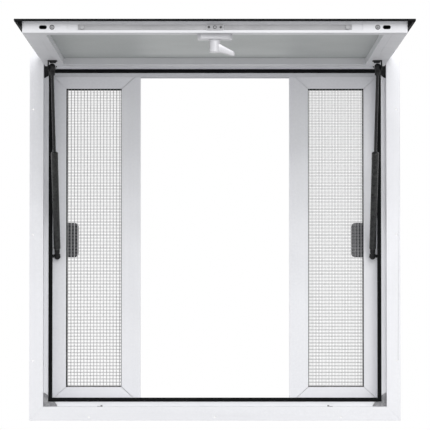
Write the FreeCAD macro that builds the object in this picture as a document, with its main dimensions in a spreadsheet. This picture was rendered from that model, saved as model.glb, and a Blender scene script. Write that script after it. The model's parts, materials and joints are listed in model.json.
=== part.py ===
"""A serving window for a food truck or a kiosk, built as its maker builds it.

An aluminium frame fits a square opening in a wall. An insulated door hangs from its head
on a piano hinge and is held open by two gas struts. Behind it, two pairs of screen sashes
slide sideways in two tracks.

Frame of reference: millimetres, +Z up, +Y from the outside to the inside, +X to the right
seen from outside. The origin is the middle of the opening, on the wall's outer face.
The door's pieces are drawn closed, then turned about the hinge pin by the opening angle.
"""
import FreeCAD, Part
import os
import re
import Sketcher

SIZES = {
    # wall opening and frame section
    "opening_width": 914,
    "opening_height": 914,
    "fit_gap": 1,
    "flange_lap": 34,
    "flange_thick": 2.5,
    "frame_wall": 2.5,
    "frame_depth": 125,
    "shelf_thick": 2,
    "shelf_width": 22.5,
    "shelf_edge": 0.5,
    "chamber_width": 12.5,
    "chamber_depth": 14,
    "key_gap": 0.2,
    "frame_key_leg": 45,
    # screw holes in the flange
    "flange_hole": 5,
    "flange_hole_inset": 9.5,
    "flange_hole_pitch": 332,
    # bulb seal and its corner blocks
    "seal_width": 9.5,
    "seal_base": 2,
    "seal_bulb": 6,
    "seal_height": 5.5,
    "seal_squeeze": 0.5,
    "corner_block_leg": 36,
    "corner_block_width": 12,
    # door: skin, hollow rails, foam and inner sheet
    "door_lap": 10,
    "skin_front": 9.5,
    "skin_thick": 1.5,
    "rail_inset": 18.6,
    "rail_width": 33.4,
    "rail_depth": 28,
    "rail_wall": 2,
    "lip_inset": 2,
    "lip_thick": 1.8,
    "bead_width": 19.3,
    "bead_wall": 1.6,
    "panel_recess": 17,
    "panel_thick": 1.5,
    "panel_gap": 0.2,
    "door_key_leg": 60,
    "trim_wrap": 4,
    "trim_thick": 1.1,
    # hinge
    "open_angle": 90,
    "hinge_wall_gap": 0.5,
    "pin_radius": 2.5,
    "pin_clearance": 0.08,
    "knuckle_radius": 6,
    "knuckle_gap": 0.6,
    "leaf_thick": 2,
    "leaf_width": 15.5,
    "frame_leaf_width": 10,
    "hinge_side_gap": 6,
    "leaf_edge": 0.5,
    "pin_end": 2,
    # lock in the door's bottom rail
    "groove_half": 343.5,
    "groove_width": 12.6,
    "groove_slot": 4.4,
    "groove_middle": 7.3,
    "bar_width": 12,
    "bar_thick": 1.8,
    "bar_outer_end": 318,
    "bar_inner_end": 20.5,
    "lock_pin_place": 308,
    "lock_pin_radius": 5,
    "lock_pin_height": 4.3,
    "faceplate_half": 19,
    "faceplate_width": 14,
    "faceplate_thick": 1.5,
    "faceplate_screw_place": 13.8,
    "faceplate_screw_radius": 2.8,
    "rail_screw_place": 378,
    "rail_screw_radius": 5.5,
    "screw_head": 1.2,
    "drain_place": 399,
    "drain_length": 14,
    "drain_width": 7.5,
    "keeper_plate": 1,
    "keeper_width": 14,
    "keeper_hook": 5,
    "keeper_hook_thick": 2.6,
    "keeper_height": 4.3,
    "keeper_clearance": 1.4,
    # handle inside
    "handle_base_half": 40.5,
    "handle_base_width": 26,
    "handle_base_near": 7.8,
    "handle_base_thick": 14,
    "boss_radius": 13.5,
    "boss_height": 30,
    "lever_length": 47,
    "lever_width": 17,
    "lever_thick": 10.5,
    "lever_drop": 38,
    "lever_nose": 4.5,
    "spindle_wall_gap": 0.6,
    "spindle_radius": 4,
    "cam_half": 3,
    "cam_reach": 18,
    "cam_thick": 6,
    # gas struts
    "strut_inset": 34,
    "strut_foot_gap": 3.5,
    "strut_foot_drop": 55.3,
    "strut_head_reach": 16.6,
    "strut_head_drop": 193,
    "strut_tube_length": 282,
    "strut_tube_radius": 9.5,
    "strut_tube_wall": 2,
    "tube_end_wall": 8,
    "gland_length": 20,
    "piston_length": 12,
    "piston_gap": 0.3,
    "strut_rod_radius": 4,
    "strut_rod_clearance": 0.08,
    "strut_rod_inside": 35,
    "strut_end_length": 22,
    "socket_radius": 8.5,
    "shank_radius": 6.8,
    "socket_width": 16,
    "stud_radius": 4,
    "stud_clearance": 0.08,
    "stud_gap": 0.6,
    "shank_overlap": 1,
    "bracket_thick": 2.5,
    "bracket_half": 13,
    "bracket_tall": 20.8,
    "bracket_foot": 24,
    # screen sashes and their tracks
    "track_front": 72,
    "track_fin": 2,
    "track_middle_fin": 3,
    "track_slot": 20.5,
    "track_base": 2,
    "head_fin_drop": 29.5,
    "sill_fin_rise": 16.5,
    "jamb_fin_reach": 16.5,
    "sash_width": 248,
    "sash_thick": 18,
    "sash_top_gap": 15.5,
    "sash_bottom_gap": 4.5,
    "sash_side_gap": 6.5,
    "stile_width": 50,
    "sash_rail_height": 45.3,
    "sash_wall": 1.6,
    "spline_width": 8,
    "spline_front": 5,
    "spline_proud": 0.3,
    "mesh_thick": 1,
    "glide_length": 40,
    "glide_width": 12,
    "glide_clearance": 0.5,
    "pull_reach": 31,
    "pull_height": 92,
    "pull_drop": 11,
    "pull_thick": 7,
    "pull_foot": 11,
}
KNUCKLES = 13

doc = FreeCAD.newDocument("ServingWindow")
sheet = doc.addObject("Spreadsheet::Sheet", "Sizes")
for row, (alias, number) in enumerate(SIZES.items(), start=1):
    sheet.set(f"A{row}", str(number))
    sheet.setAlias(f"A{row}", alias)
doc.recompute()

sub_parts = []


# ---------------------------------------------------------------- working tools

def bound(text):
    """An expression in which every named size is read from the sheet."""
    return re.sub(r"[a-z_]+", lambda m: f"Sizes.{m[0]}" if m[0] in SIZES else m[0], str(text))


def value(text):
    """What an expression comes to at present, for a sketch's first geometry."""
    return float(sheet.evalExpression(bound(text)))


def finished(piece, label):
    """Give a sub-part its name and list it for writing."""
    piece.Label = label
    sub_parts.append(piece)
    return piece


def new_body(name):
    return doc.addObject("PartDesign::Body", name)


def plane_sketch(body, plane, offset):
    """A sketch parallel to one of the body's own planes, at an offset along its normal."""
    sketch = body.newObject("Sketcher::SketchObject", "Outline")
    origin_plane = [f for f in body.Origin.OriginFeatures if f.Role == f"{plane}_Plane"][0]
    sketch.AttachmentSupport = [(origin_plane, "")]
    sketch.MapMode = "FlatFace"
    sketch.setExpression("AttachmentOffset.Base.z", bound(offset))
    return sketch


def pin_point(sketch, geometry, point, place):
    """Hold one point of a sketch at a place given by two expressions."""
    for kind, text in zip(("DistanceX", "DistanceY"), place):
        held = Sketcher.Constraint(kind, -1, 1, geometry, point, value(text))
        sketch.setExpression(f"Constraints[{sketch.addConstraint(held)}]", bound(text))


def draw_polygon(sketch, corners):
    """A closed outline of straight lines through the given corners."""
    spots = [FreeCAD.Vector(value(a), value(b), 0) for a, b in corners]
    first = sketch.GeometryCount
    count = len(corners)
    for i in range(count):
        sketch.addGeometry(Part.LineSegment(spots[i], spots[(i + 1) % count]), False)
    for i in range(count):
        sketch.addConstraint(Sketcher.Constraint("Coincident", first + i, 2, first + (i + 1) % count, 1))
        pin_point(sketch, first + i, 1, corners[i])


def draw_circle(sketch, centre, radius):
    """A circle whose centre and radius are expressions."""
    spot = FreeCAD.Vector(value(centre[0]), value(centre[1]), 0)
    at = sketch.addGeometry(Part.Circle(spot, FreeCAD.Vector(0, 0, 1), value(radius)), False)
    pin_point(sketch, at, 3, centre)
    held = sketch.addConstraint(Sketcher.Constraint("Radius", at, value(radius)))
    sketch.setExpression(f"Constraints[{held}]", bound(radius))


def grown(body, plane, outlines, low, high, cut=False):
    """Pad or pocket outlines between two stations on the plane's own axis."""
    if plane == "XZ":
        low, high = f"-({high})", f"-({low})"
    sketch = plane_sketch(body, plane, high if cut else low)
    for outline in outlines:
        if len(outline) == 3:
            draw_circle(sketch, outline[:2], outline[2])
        else:
            draw_polygon(sketch, outline)
    feature = body.newObject("PartDesign::Pocket" if cut else "PartDesign::Pad", "Step")
    feature.Profile = sketch
    feature.setExpression("Length", bound(f"({high}) - ({low})"))
    sketch.Visibility = False
    return feature


def rectangle(left, right, low, high):
    return [(left, low), (right, low), (right, high), (left, high)]


def block(body, across, deep, tall, cut=False):
    """A box given by its (low, high) along X, Y and Z."""
    return grown(body, "XZ", [rectangle(*across, *tall)], *deep, cut=cut)


def block_part(label, across, deep, tall):
    """A sub-part that is one plain sheet or bar."""
    body = new_body(label)
    block(body, across, deep, tall)
    return finished(body, label)


def group(label, pieces):
    """Several loose solids that share one node."""
    together = doc.addObject("Part::Compound", label)
    together.Links = pieces
    return finished(together, label)


def rod_along_x(name, radius, start, end, y, z):
    """A round bar along X between two stations."""
    bar = doc.addObject("Part::Cylinder", name)
    bar.setExpression("Radius", bound(radius))
    bar.setExpression("Height", bound(f"abs(({end}) - ({start}))"))
    bar.Placement.Rotation = FreeCAD.Rotation(FreeCAD.Vector(0, 1, 0), 90)
    bar.setExpression("Placement.Base.x", bound(f"min({start}; {end})"))
    bar.setExpression("Placement.Base.y", bound(y))
    bar.setExpression("Placement.Base.z", bound(z))
    return bar


def rod_along_z(name, radius, x, y, start, end):
    """A round bar along Z between two stations."""
    bar = doc.addObject("Part::Cylinder", name)
    bar.setExpression("Radius", bound(radius))
    bar.setExpression("Height", bound(f"({end}) - ({start})"))
    bar.setExpression("Placement.Base.x", bound(x))
    bar.setExpression("Placement.Base.y", bound(y))
    bar.setExpression("Placement.Base.z", bound(start))
    return bar


def rod_along_y(name, radius, x, z, start, end):
    """A round bar along Y between two stations."""
    bar = doc.addObject("Part::Cylinder", name)
    bar.setExpression("Radius", bound(radius))
    bar.setExpression("Height", bound(f"({end}) - ({start})"))
    bar.Placement.Rotation = FreeCAD.Rotation(FreeCAD.Vector(1, 0, 0), -90)
    bar.setExpression("Placement.Base.x", bound(x))
    bar.setExpression("Placement.Base.y", bound(start))
    bar.setExpression("Placement.Base.z", bound(z))
    return bar


def fused(name, pieces):
    joined = doc.addObject("Part::MultiFuse", name)
    joined.Shapes = pieces
    joined.Refine = True
    return joined


def cut_from(name, base, tool):
    drilled = doc.addObject("Part::Cut", name)
    drilled.Base = base
    drilled.Tool = tool
    return drilled


# ---------------------------------------------------------------- mitred members

def member_outline(side, rect, near, far, slope):
    """The mitred outline of one member, from `near` to `far` inside the rectangle's edge."""
    left, right, low, high = rect
    x = {d: (f"{left} + {d}", f"{right} - ({d})") for d in (near, far)}
    z = {d: (f"{low} + ({d}) * {slope}", f"{high} - ({d}) * {slope}") for d in (near, far)}
    corner = {
        "low": [(0, 0), (1, 0)],
        "high": [(0, 1), (1, 1)],
        "left": [(0, 0), (0, 1)],
        "right": [(1, 0), (1, 1)],
    }[side]
    (a, b), (c, d) = corner
    return [
        (x[near][a], z[near][b]),
        (x[near][c], z[near][d]),
        (x[far][c], z[far][d]),
        (x[far][a], z[far][b]),
    ]


def mitred_member(name, side, rect, steps, slope="1"):
    """One side of a mitred frame. Each step is (near, far, front, back)."""
    body = new_body(name)
    for near, far, front, back in steps:
        grown(body, "XZ", [member_outline(side, rect, near, far, slope)], front, back)
    return body


def corner_piece(name, rect, across, up, near, far, leg, front, back):
    """An L that turns one corner of a frame, both legs equal."""
    left, right, low, high = rect
    body = new_body(name)
    x_edge, x_way = (right, "-") if across > 0 else (left, "+")
    z_edge, z_way = (high, "-") if up > 0 else (low, "+")
    x = [f"{x_edge} {x_way} ({d})" for d in (near, far, f"{near} + {leg}")]
    z = [f"{z_edge} {z_way} ({d})" for d in (near, far, f"{near} + {leg}")]
    outline = [(x[0], z[0]), (x[2], z[0]), (x[2], z[1]), (x[1], z[1]), (x[1], z[2]), (x[0], z[2])]
    grown(body, "XZ", [outline], front, back)
    return body


def four_corners(label, rect, near, far, leg, front, back):
    ways = [(a, u) for a in (-1, 1) for u in (-1, 1)]
    return group(label, [corner_piece("corner", rect, a, u, near, far, leg, front, back) for a, u in ways])


# ---------------------------------------------------------------- frame

HALF_W = "(opening_width / 2 - fit_gap)"
HALF_H = "(opening_height / 2 - fit_gap)"
FLANGE_X = f"({HALF_W} + flange_lap)"
FLANGE_Z = f"({HALF_H} + flange_lap)"
FLANGE_RECT = (f"-{FLANGE_X}", FLANGE_X, f"-{FLANGE_Z}", FLANGE_Z)
INNER_X = f"({HALF_W} - frame_wall)"
INNER_Z = f"({HALF_H} - frame_wall)"
WALL_INSIDE = "(flange_lap + frame_wall)"
SEAL_FACE = "(rail_depth - skin_front + skin_thick + seal_squeeze)"
SHELF_FRONT = f"({SEAL_FACE} + seal_height)"
SHELF_BACK = f"({SHELF_FRONT} + shelf_thick)"
CHAMBER_BACK = f"({SHELF_BACK} + chamber_depth)"
MEMBERS = (("head", "high"), ("sill", "low"), ("jamb_left", "left"), ("jamb_right", "right"))


def frame_members():
    """Head, sill and jambs: flange, wall, seal shelf and the chamber for the corner keys."""
    steps = [
        ("0", WALL_INSIDE, "-flange_thick", "0"),
        ("flange_lap", WALL_INSIDE, "0", "frame_depth"),
        (WALL_INSIDE, f"{WALL_INSIDE} + shelf_width", SHELF_FRONT, SHELF_BACK),
        (
            f"{WALL_INSIDE} + chamber_width - shelf_thick",
            f"{WALL_INSIDE} + chamber_width",
            SHELF_BACK,
            CHAMBER_BACK,
        ),
        (WALL_INSIDE, f"{WALL_INSIDE} + chamber_width", CHAMBER_BACK, f"{CHAMBER_BACK} + shelf_thick"),
    ]
    for name, side in MEMBERS:
        body = mitred_member(f"frame_{name}", side, FLANGE_RECT, steps)
        sign = "-" if side in ("low", "left") else ""
        along = ("-flange_hole_pitch", "0", "flange_hole_pitch")
        if side in ("low", "high"):
            centres = [(a, f"{sign}({FLANGE_Z} - flange_hole_inset)") for a in along]
        else:
            centres = [(f"{sign}({FLANGE_X} - flange_hole_inset)", a) for a in along]
        holes = [(x, z, "flange_hole / 2") for x, z in centres]
        grown(body, "XZ", holes, "-flange_thick", "0", cut=True)
        finished(body, f"frame_{name}")


def frame_corner_keys():
    """L keys pressed into the chambers at the four mitres."""
    four_corners(
        "frame_corner_keys",
        FLANGE_RECT,
        f"{WALL_INSIDE} + key_gap",
        f"{WALL_INSIDE} + chamber_width - shelf_thick - key_gap",
        "frame_key_leg",
        f"{SHELF_BACK} + key_gap",
        f"{CHAMBER_BACK} - key_gap",
    )


def weather_seal():
    """The bulb seal on the shelf, just short of the shut door."""
    body = new_body("weather_seal")
    inner = f"({WALL_INSIDE} + shelf_width - shelf_edge)"
    base = f"({SHELF_FRONT} - seal_base)"
    rows = [
        (f"{inner} - seal_width", inner, base, SHELF_FRONT),
        (
            f"{inner} - (seal_width + seal_bulb) / 2",
            f"{inner} - (seal_width - seal_bulb) / 2",
            SEAL_FACE,
            base,
        ),
    ]
    for near, far, front, back in rows:
        loops = []
        for inset in (near, far):
            across = (f"-{FLANGE_X} + {inset}", f"{FLANGE_X} - ({inset})")
            tall = (f"-{FLANGE_Z} + {inset}", f"{FLANGE_Z} - ({inset})")
            loops.append(rectangle(*across, *tall))
        grown(body, "XZ", loops, front, back)
    finished(body, "weather_seal")


def seal_corner_blocks():
    """Blocks that close the gap outside the seal at the four corners."""
    four_corners(
        "seal_corner_blocks",
        FLANGE_RECT,
        f"{WALL_INSIDE} + key_gap",
        f"{WALL_INSIDE} + corner_block_width",
        "corner_block_leg",
        SEAL_FACE,
        SHELF_FRONT,
    )


# ---------------------------------------------------------------- sash tracks

FINS = (
    ("track_front", "track_front + track_fin"),
    ("track_front + track_fin + track_slot", "track_front + track_fin + track_slot + track_middle_fin"),
    (
        "track_front + track_fin + 2 * track_slot + track_middle_fin",
        "track_front + 2 * track_fin + 2 * track_slot + track_middle_fin",
    ),
)
TRACK_DEEP = (FINS[0][0], FINS[2][1])


def flat_tracks():
    """The double channels along the head and the sill."""
    across = (f"-{INNER_X} + key_gap", f"{INNER_X} - key_gap")
    head = new_body("head_track")
    block(head, across, TRACK_DEEP, (f"{INNER_Z} - track_base", INNER_Z))
    sill = new_body("sill_track")
    block(sill, across, TRACK_DEEP, (f"-{INNER_Z}", f"-{INNER_Z} + track_base"))
    for fin in FINS:
        block(head, across, fin, (f"{INNER_Z} - head_fin_drop", f"{INNER_Z} - track_base"))
        block(sill, across, fin, (f"-{INNER_Z} + track_base", f"-{INNER_Z} + sill_fin_rise"))
    finished(head, "head_track")
    finished(sill, "sill_track")


def jamb_tracks():
    """The double channels up both jambs, between the head and sill fins."""
    tall = (f"-{INNER_Z} + sill_fin_rise + key_gap", f"{INNER_Z} - head_fin_drop - key_gap")
    channels = []
    for way in ("-", ""):
        body = new_body("jamb_track")
        outer, floor, tip = [f"{INNER_X} - {d}" for d in ("0", "track_base", "jamb_fin_reach")]
        ends = (outer, floor, tip) if way == "" else [f"-({e})" for e in (outer, floor, tip)]
        low_first = (lambda a, b: (b, a)) if way == "" else (lambda a, b: (a, b))
        block(body, low_first(ends[0], ends[1]), TRACK_DEEP, tall)
        for fin in FINS:
            block(body, low_first(ends[1], ends[2]), fin, tall)
        channels.append(body)
    group("jamb_tracks", channels)


# ---------------------------------------------------------------- door

DOOR_X = f"({HALF_W} + door_lap)"
DOOR_Z = f"({HALF_H} + door_lap)"
DOOR_RECT = (f"-{DOOR_X}", DOOR_X, f"-{DOOR_Z}", DOOR_Z)
SKIN_BACK = "(-skin_front + skin_thick)"
RAIL_BACK = f"({SKIN_BACK} + rail_depth)"
RAIL_NEAR = "rail_inset"
RAIL_FAR = "(rail_inset + rail_width)"
BEAD_FAR = f"({RAIL_FAR} + bead_width)"
PANEL_BACK = f"({RAIL_BACK} - panel_recess)"
HINGE_Y = "(-flange_thick - hinge_wall_gap - knuckle_radius)"
HINGE_Z = f"({DOOR_Z} + knuckle_radius + knuckle_gap)"


def hang(piece, label=None):
    """Turn a piece of the door about the hinge pin, from shut to its resting angle."""
    turn = "(open_angle * 1 deg)"
    piece.Placement.Rotation = FreeCAD.Rotation(FreeCAD.Vector(1, 0, 0), -1)
    piece.setExpression("Placement.Rotation.Angle", bound("-open_angle * 1 deg"))
    piece.setExpression("Placement.Base.x", "0")
    y = f"{HINGE_Y} * (1 - cos{turn}) - {HINGE_Z} * sin{turn}"
    z = f"{HINGE_Z} * (1 - cos{turn}) + {HINGE_Y} * sin{turn}"
    piece.setExpression("Placement.Base.y", bound(y))
    piece.setExpression("Placement.Base.z", bound(z))
    if label:
        finished(piece, label)
    return piece


def door_sheets():
    """Outer skin, foam core and inner sheet."""
    skin = new_body("door_skin")
    block(skin, DOOR_RECT[:2], ("-skin_front", SKIN_BACK), DOOR_RECT[2:])
    hang(skin, "door_skin")
    inset = f"({RAIL_FAR} + panel_gap)"
    across = (f"-{DOOR_X} + {inset}", f"{DOOR_X} - {inset}")
    tall = (f"-{DOOR_Z} + {inset}", f"{DOOR_Z} - {inset}")
    core = new_body("door_core")
    block(core, across, (SKIN_BACK, f"{PANEL_BACK} - panel_thick"), tall)
    hang(core, "door_core")
    panel = new_body("door_inner_panel")
    block(panel, across, (f"{PANEL_BACK} - panel_thick", PANEL_BACK), tall)
    hang(panel, "door_inner_panel")


def rail_steps():
    """The hollow section of the door's rails and stiles, with its outward lip."""
    front, back = f"{SKIN_BACK} + rail_wall", f"{RAIL_BACK} - rail_wall"
    return [
        ("lip_inset", RAIL_NEAR, SKIN_BACK, f"{SKIN_BACK} + lip_thick"),
        (RAIL_NEAR, RAIL_FAR, SKIN_BACK, front),
        (RAIL_NEAR, f"{RAIL_NEAR} + rail_wall", front, back),
        (f"{RAIL_FAR} - rail_wall", RAIL_FAR, front, back),
        (RAIL_NEAR, RAIL_FAR, back, RAIL_BACK),
    ]


GROOVE_FRONT = "(groove_middle - groove_width / 2 - groove_slot)"
GROOVE_BACK = "(groove_middle + groove_width / 2)"
RAIL_FOOT = f"(-{DOOR_Z} + rail_inset)"


def groove_the_bottom_rail(body):
    """The lock's long groove and its floor, the drain slots and the spindle's hole."""
    floor = (f"{RAIL_FOOT} + rail_wall", f"{RAIL_FOOT} + 2 * rail_wall")
    deep = (f"{GROOVE_FRONT} - rail_wall", f"{GROOVE_BACK} + rail_wall")
    ends = "(groove_half + 2 * rail_wall)"
    block(body, (f"-{ends}", ends), deep, floor)
    groove = (GROOVE_FRONT, GROOVE_BACK)
    block(body, ("-groove_half", "groove_half"), groove, (RAIL_FOOT, floor[0]), cut=True)
    for way in ("-", ""):
        middle = f"{way}drain_place"
        across = (f"{middle} - drain_length / 2", f"{middle} + drain_length / 2")
        deep = ("groove_middle - drain_width / 2", "groove_middle + drain_width / 2")
        block(body, across, deep, (RAIL_FOOT, floor[0]), cut=True)
    hole = [("0", SPINDLE_Z, "spindle_radius + stud_clearance")]
    grown(body, "XZ", hole, f"{RAIL_BACK} - rail_wall", RAIL_BACK, cut=True)


def door_members():
    """Two rails and two stiles, mitred."""
    names = (("rail_top", "high"), ("rail_bottom", "low"), ("stile_left", "left"), ("stile_right", "right"))
    for name, side in names:
        body = mitred_member(f"door_{name}", side, DOOR_RECT, rail_steps())
        if side == "low":
            groove_the_bottom_rail(body)
        hang(body, f"door_{name}")


def door_beads():
    """Four channel beads that hold the inner sheet and step down to it."""
    steps = [
        (RAIL_FAR, BEAD_FAR, PANEL_BACK, f"{PANEL_BACK} + bead_wall"),
        (f"{BEAD_FAR} - bead_wall", BEAD_FAR, f"{PANEL_BACK} + bead_wall", f"{RAIL_BACK} - bead_wall"),
        (RAIL_FAR, BEAD_FAR, f"{RAIL_BACK} - bead_wall", RAIL_BACK),
    ]
    sides = ("high", "low", "left", "right")
    hang(group("door_beads", [mitred_member("bead", s, DOOR_RECT, steps) for s in sides]))


def door_corner_keys():
    """L keys inside the rails at the four mitres."""
    hang(
        four_corners(
            "door_corner_keys",
            DOOR_RECT,
            f"{RAIL_NEAR} + rail_wall + key_gap",
            f"{RAIL_FAR} - rail_wall - key_gap",
            "door_key_leg",
            f"{SKIN_BACK} + rail_wall + key_gap",
            f"{RAIL_BACK} - rail_wall - key_gap",
        )
    )


def door_edge_trim():
    """A rubber channel pushed over the door's edge, down the sides and along the bottom."""
    back = f"({SKIN_BACK} + lip_thick)"
    steps = [
        ("-trim_thick", "trim_wrap", "-skin_front - trim_thick", "-skin_front"),
        ("-trim_thick", "0", "-skin_front", back),
        ("-trim_thick", "trim_wrap", back, f"{back} + trim_thick"),
    ]
    rect = (DOOR_RECT[0], DOOR_RECT[1], DOOR_RECT[2], f"({DOOR_Z} - leaf_width - trim_wrap)")
    body = new_body("door_edge_trim")
    for near, far, front, rear in steps:
        x = [[f"-{DOOR_X} + ({d})", f"{DOOR_X} - ({d})"] for d in (near, far)]
        z = [f"-{DOOR_Z} + ({d})" for d in (near, far)]
        top = rect[3]
        outline = [
            (x[0][0], top),
            (x[0][0], z[0]),
            (x[0][1], z[0]),
            (x[0][1], top),
            (x[1][1], top),
            (x[1][1], z[1]),
            (x[1][0], z[1]),
            (x[1][0], top),
        ]
        grown(body, "XZ", [outline], front, rear)
    hang(body, "door_edge_trim")


# ---------------------------------------------------------------- hinge

HINGE_HALF = f"({DOOR_X} - hinge_side_gap)"
KNUCKLE_PITCH = f"(2 * {HINGE_HALF} / {KNUCKLES})"


def hinge_leaf(name, first, count, plate, web):
    """One leaf: a plate, and every second knuckle with the web that carries it."""
    body = new_body(name)
    (plate_y, plate_z), (web_y, web_z) = plate, web
    block(body, (f"-{HINGE_HALF}", HINGE_HALF), plate_y, plate_z)
    start = f"(-{HINGE_HALF} + {first} * {KNUCKLE_PITCH} + knuckle_gap / 2)"
    end = f"({start} + {KNUCKLE_PITCH} - knuckle_gap)"
    knuckle = grown(body, "YZ", [(HINGE_Y, HINGE_Z, "knuckle_radius")], start, end)
    bridge = block(body, (start, end), web_y, web_z)
    doc.recompute()
    row = body.newObject("PartDesign::LinearPattern", "Knuckles")
    row.Originals = [knuckle, bridge]
    along = [f for f in body.Origin.OriginFeatures if f.Role == "X_Axis"][0]
    row.Direction = (along, [""])
    row.Mode = "Spacing"
    row.setExpression("Offset", bound(f"2 * {KNUCKLE_PITCH}"))
    row.Occurrences = count
    body.Tip = row
    bore = [(HINGE_Y, HINGE_Z, "pin_radius + pin_clearance")]
    grown(body, "YZ", bore, f"-{HINGE_HALF} - 1", f"{HINGE_HALF} + 1", cut=True)
    return body


def hinge():
    """Piano hinge over the whole width: frame leaf, door leaf and pin."""
    frame_plate = (
        ("-flange_thick - leaf_thick", "-flange_thick"),
        (f"{FLANGE_Z} - frame_leaf_width", FLANGE_Z),
    )
    frame_web = (
        (f"{HINGE_Y} + knuckle_radius / 2", "-flange_thick"),
        (f"{HINGE_Z} + knuckle_radius / 2", f"{FLANGE_Z} - frame_leaf_width + leaf_edge"),
    )
    leaf = hinge_leaf("hinge_frame_leaf", 0, (KNUCKLES + 1) // 2, frame_plate, frame_web)
    finished(leaf, "hinge_frame_leaf")
    face = ("-skin_front - leaf_thick", "-skin_front")
    door_plate = (face, (f"{DOOR_Z} - leaf_width", f"{DOOR_Z} - leaf_edge"))
    door_web = (face, (f"{DOOR_Z} - 2 * leaf_edge", f"{HINGE_Z} - knuckle_radius + pin_radius"))
    leaf = hinge_leaf("hinge_door_leaf", 1, KNUCKLES // 2, door_plate, door_web)
    hang(leaf, "hinge_door_leaf")
    reach = f"({HINGE_HALF} + pin_end)"
    finished(rod_along_x("hinge_pin", "pin_radius", f"-{reach}", reach, HINGE_Y, HINGE_Z), "hinge_pin")


# ---------------------------------------------------------------- lock

SPINDLE_Z = f"({RAIL_FOOT} + rail_width - rail_wall - spindle_radius - spindle_wall_gap)"
BASE_TOP = f"({RAIL_BACK} + handle_base_thick)"
BOSS_TOP = f"({BASE_TOP} + boss_height)"


def lock_bars():
    """A bar each way from the middle, with a round stud near its outer end."""
    tall = (f"{RAIL_FOOT} + rail_wall - bar_thick", f"{RAIL_FOOT} + rail_wall")
    deep = ("groove_middle - bar_width / 2", "groove_middle + bar_width / 2")
    for name, way in (("left", "-"), ("right", "")):
        ends = ["bar_inner_end", "bar_outer_end"] if way == "" else ["-bar_outer_end", "-bar_inner_end"]
        bar = new_body(f"lock_bar_{name}")
        block(bar, ends, deep, tall)
        place = (f"{way}lock_pin_place", "groove_middle", "lock_pin_radius")
        grown(bar, "XY", [place], f"{tall[0]} - lock_pin_height", tall[0])
        hang(bar, f"lock_bar_{name}")


def lock_faceplate():
    """The small plate over the bars' inner ends."""
    body = new_body("lock_faceplate")
    deep = ("groove_middle - faceplate_width / 2", "groove_middle + faceplate_width / 2")
    block(body, ("-faceplate_half", "faceplate_half"), deep, (f"{RAIL_FOOT} - faceplate_thick", RAIL_FOOT))
    hang(body, "lock_faceplate")


def door_screws():
    """Screw heads in the bottom rail's edge and in the lock's faceplate."""
    heads = []
    plate = f"({RAIL_FOOT} - faceplate_thick)"
    for way in ("-", ""):
        head = (f"{way}rail_screw_place", "groove_middle", f"{RAIL_FOOT} - screw_head", RAIL_FOOT)
        heads.append(rod_along_z("rail_screw", "rail_screw_radius", *head))
    for spot in ("-faceplate_screw_place", "0", "faceplate_screw_place"):
        head = (spot, "groove_middle", f"{plate} - screw_head", plate)
        heads.append(rod_along_z("plate_screw", "faceplate_screw_radius", *head))
    hang(group("door_screws", heads))


def lock_keepers():
    """A plate with a hook at each end of the sill; the lock's studs slide behind the hooks."""
    foot = f"-{INNER_Z}"
    keepers = []
    for way in (-1, 1):
        body = new_body("keeper")
        near = "(lock_pin_place - lock_pin_radius - keeper_clearance - keeper_hook)"
        spans = [(near, f"({near} + keeper_width)"), (near, f"({near} + keeper_hook)")]
        if way < 0:
            spans = [(f"-{b}", f"-{a}") for a, b in spans]
        front = "(groove_middle - lock_pin_radius - keeper_clearance - keeper_hook_thick)"
        plate = (front, "groove_middle + lock_pin_radius")
        block(body, spans[0], plate, (foot, f"{foot} + keeper_plate"))
        hook = (front, f"{front} + keeper_hook_thick")
        block(body, spans[1], hook, (f"{foot} + keeper_plate", f"{foot} + keeper_height"))
        keepers.append(body)
    group("lock_keepers", keepers)


def lock_handle_base():
    """The casting on the door's inner face that carries the handle."""
    body = new_body("lock_handle_base")
    foot = f"({SPINDLE_Z} - handle_base_near)"
    tall = (foot, f"{foot} + handle_base_width")
    block(body, ("-handle_base_half", "handle_base_half"), (RAIL_BACK, BASE_TOP), tall)
    bore = [("0", SPINDLE_Z, "spindle_radius + stud_clearance")]
    grown(body, "XZ", bore, RAIL_BACK, BASE_TOP, cut=True)
    hang(body, "lock_handle_base")


def lock_handle():
    """Boss and a lever that slopes away from the door, pointing sideways while the lock is open."""
    body = new_body("lock_handle")
    grown(body, "XZ", [("0", SPINDLE_Z, "boss_radius")], f"{BASE_TOP} + stud_gap", BOSS_TOP)
    root = f"({BASE_TOP} + boss_height - lever_thick * 2)"
    tip = f"({BASE_TOP} + lever_drop)"
    outline = [
        ("0", root),
        ("boss_radius", root),
        ("lever_length - lever_nose", f"{tip} - lever_thick"),
        ("lever_length", f"{tip} - lever_thick / 2"),
        ("lever_length - lever_nose", tip),
        ("boss_radius / 2", BOSS_TOP),
        ("0", BOSS_TOP),
    ]
    grown(body, "XY", [outline], f"{SPINDLE_Z} - lever_width / 2", f"{SPINDLE_Z} + lever_width / 2")
    hang(body, "lock_handle")


def lock_spindle():
    """The spindle from the handle into the rail, with the finger that works the bars."""
    body = new_body("lock_spindle")
    finger_front = "(groove_middle - cam_thick)"
    grown(body, "XZ", [("0", SPINDLE_Z, "spindle_radius")], finger_front, f"{BASE_TOP} + stud_gap")
    tall = (f"{SPINDLE_Z} - cam_reach", SPINDLE_Z)
    block(body, ("-cam_half", "cam_half"), (finger_front, "groove_middle"), tall)
    hang(body, "lock_spindle")


# ---------------------------------------------------------------- gas struts

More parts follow.
